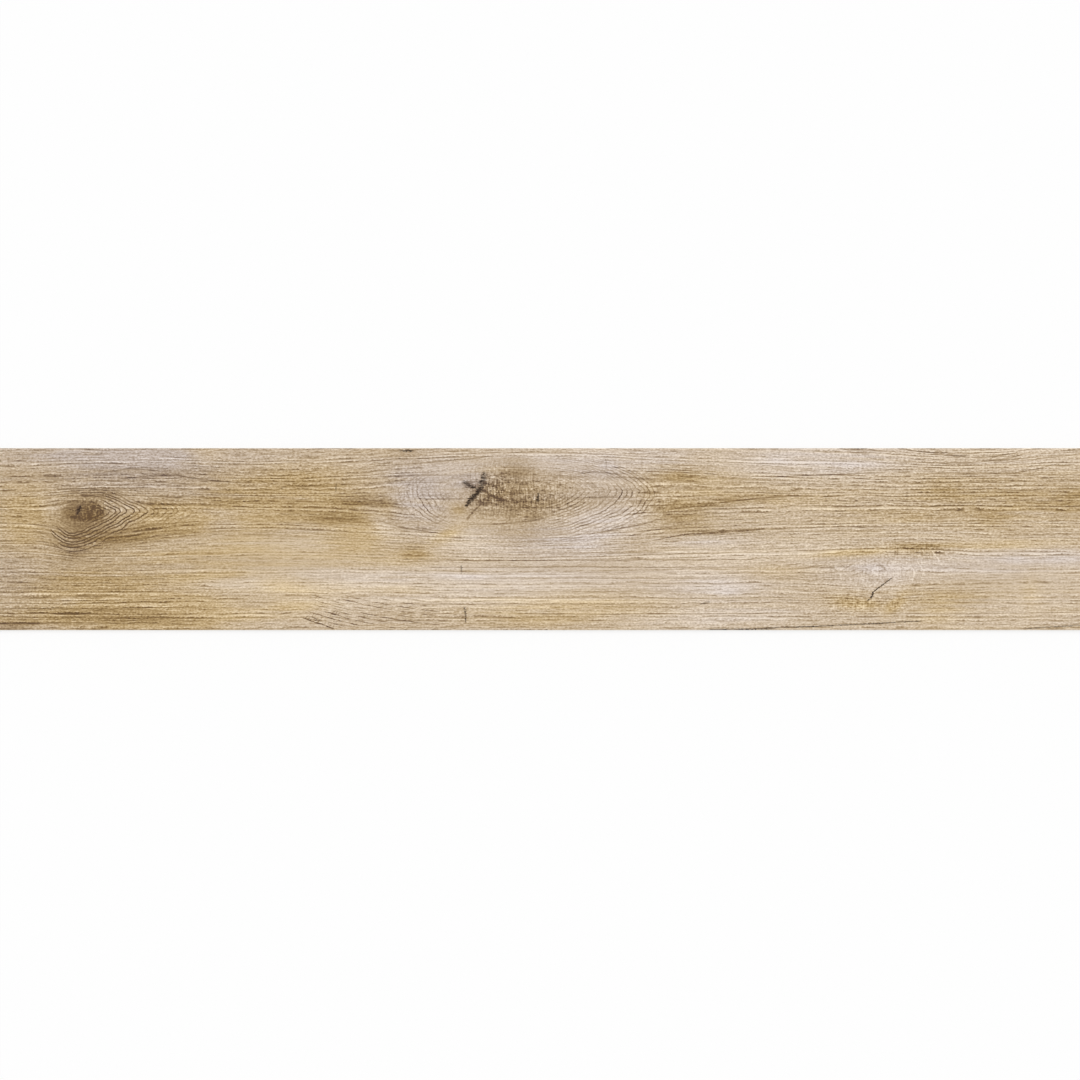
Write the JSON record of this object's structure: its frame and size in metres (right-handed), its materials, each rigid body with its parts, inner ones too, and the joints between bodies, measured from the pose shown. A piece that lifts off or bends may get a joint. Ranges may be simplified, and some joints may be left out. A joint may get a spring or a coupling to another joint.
{
  "type": "porcelain tile",
  "caption": "Long rectangular porcelain floor tile with a matt wood-grain face, square ground edges with a fine bevel, and a pocketed back that keys into adhesive.",
  "frame": {"origin": "middle of the back, on the plane of its ribs and rail, where the tile lies on its bed", "axes": "+X along the plank and its printed grain, +Y across its width, +Z out of the glazed face"},
  "size_m": [1.2, 0.2, 0.009],
  "materials": {
    "porcelain": "matt printed glaze on a pressed beige porcelain body"
  },
  "bodies": {
    "root": {"porcelain_tile": "porcelain"}
  },
  "joints": []
}
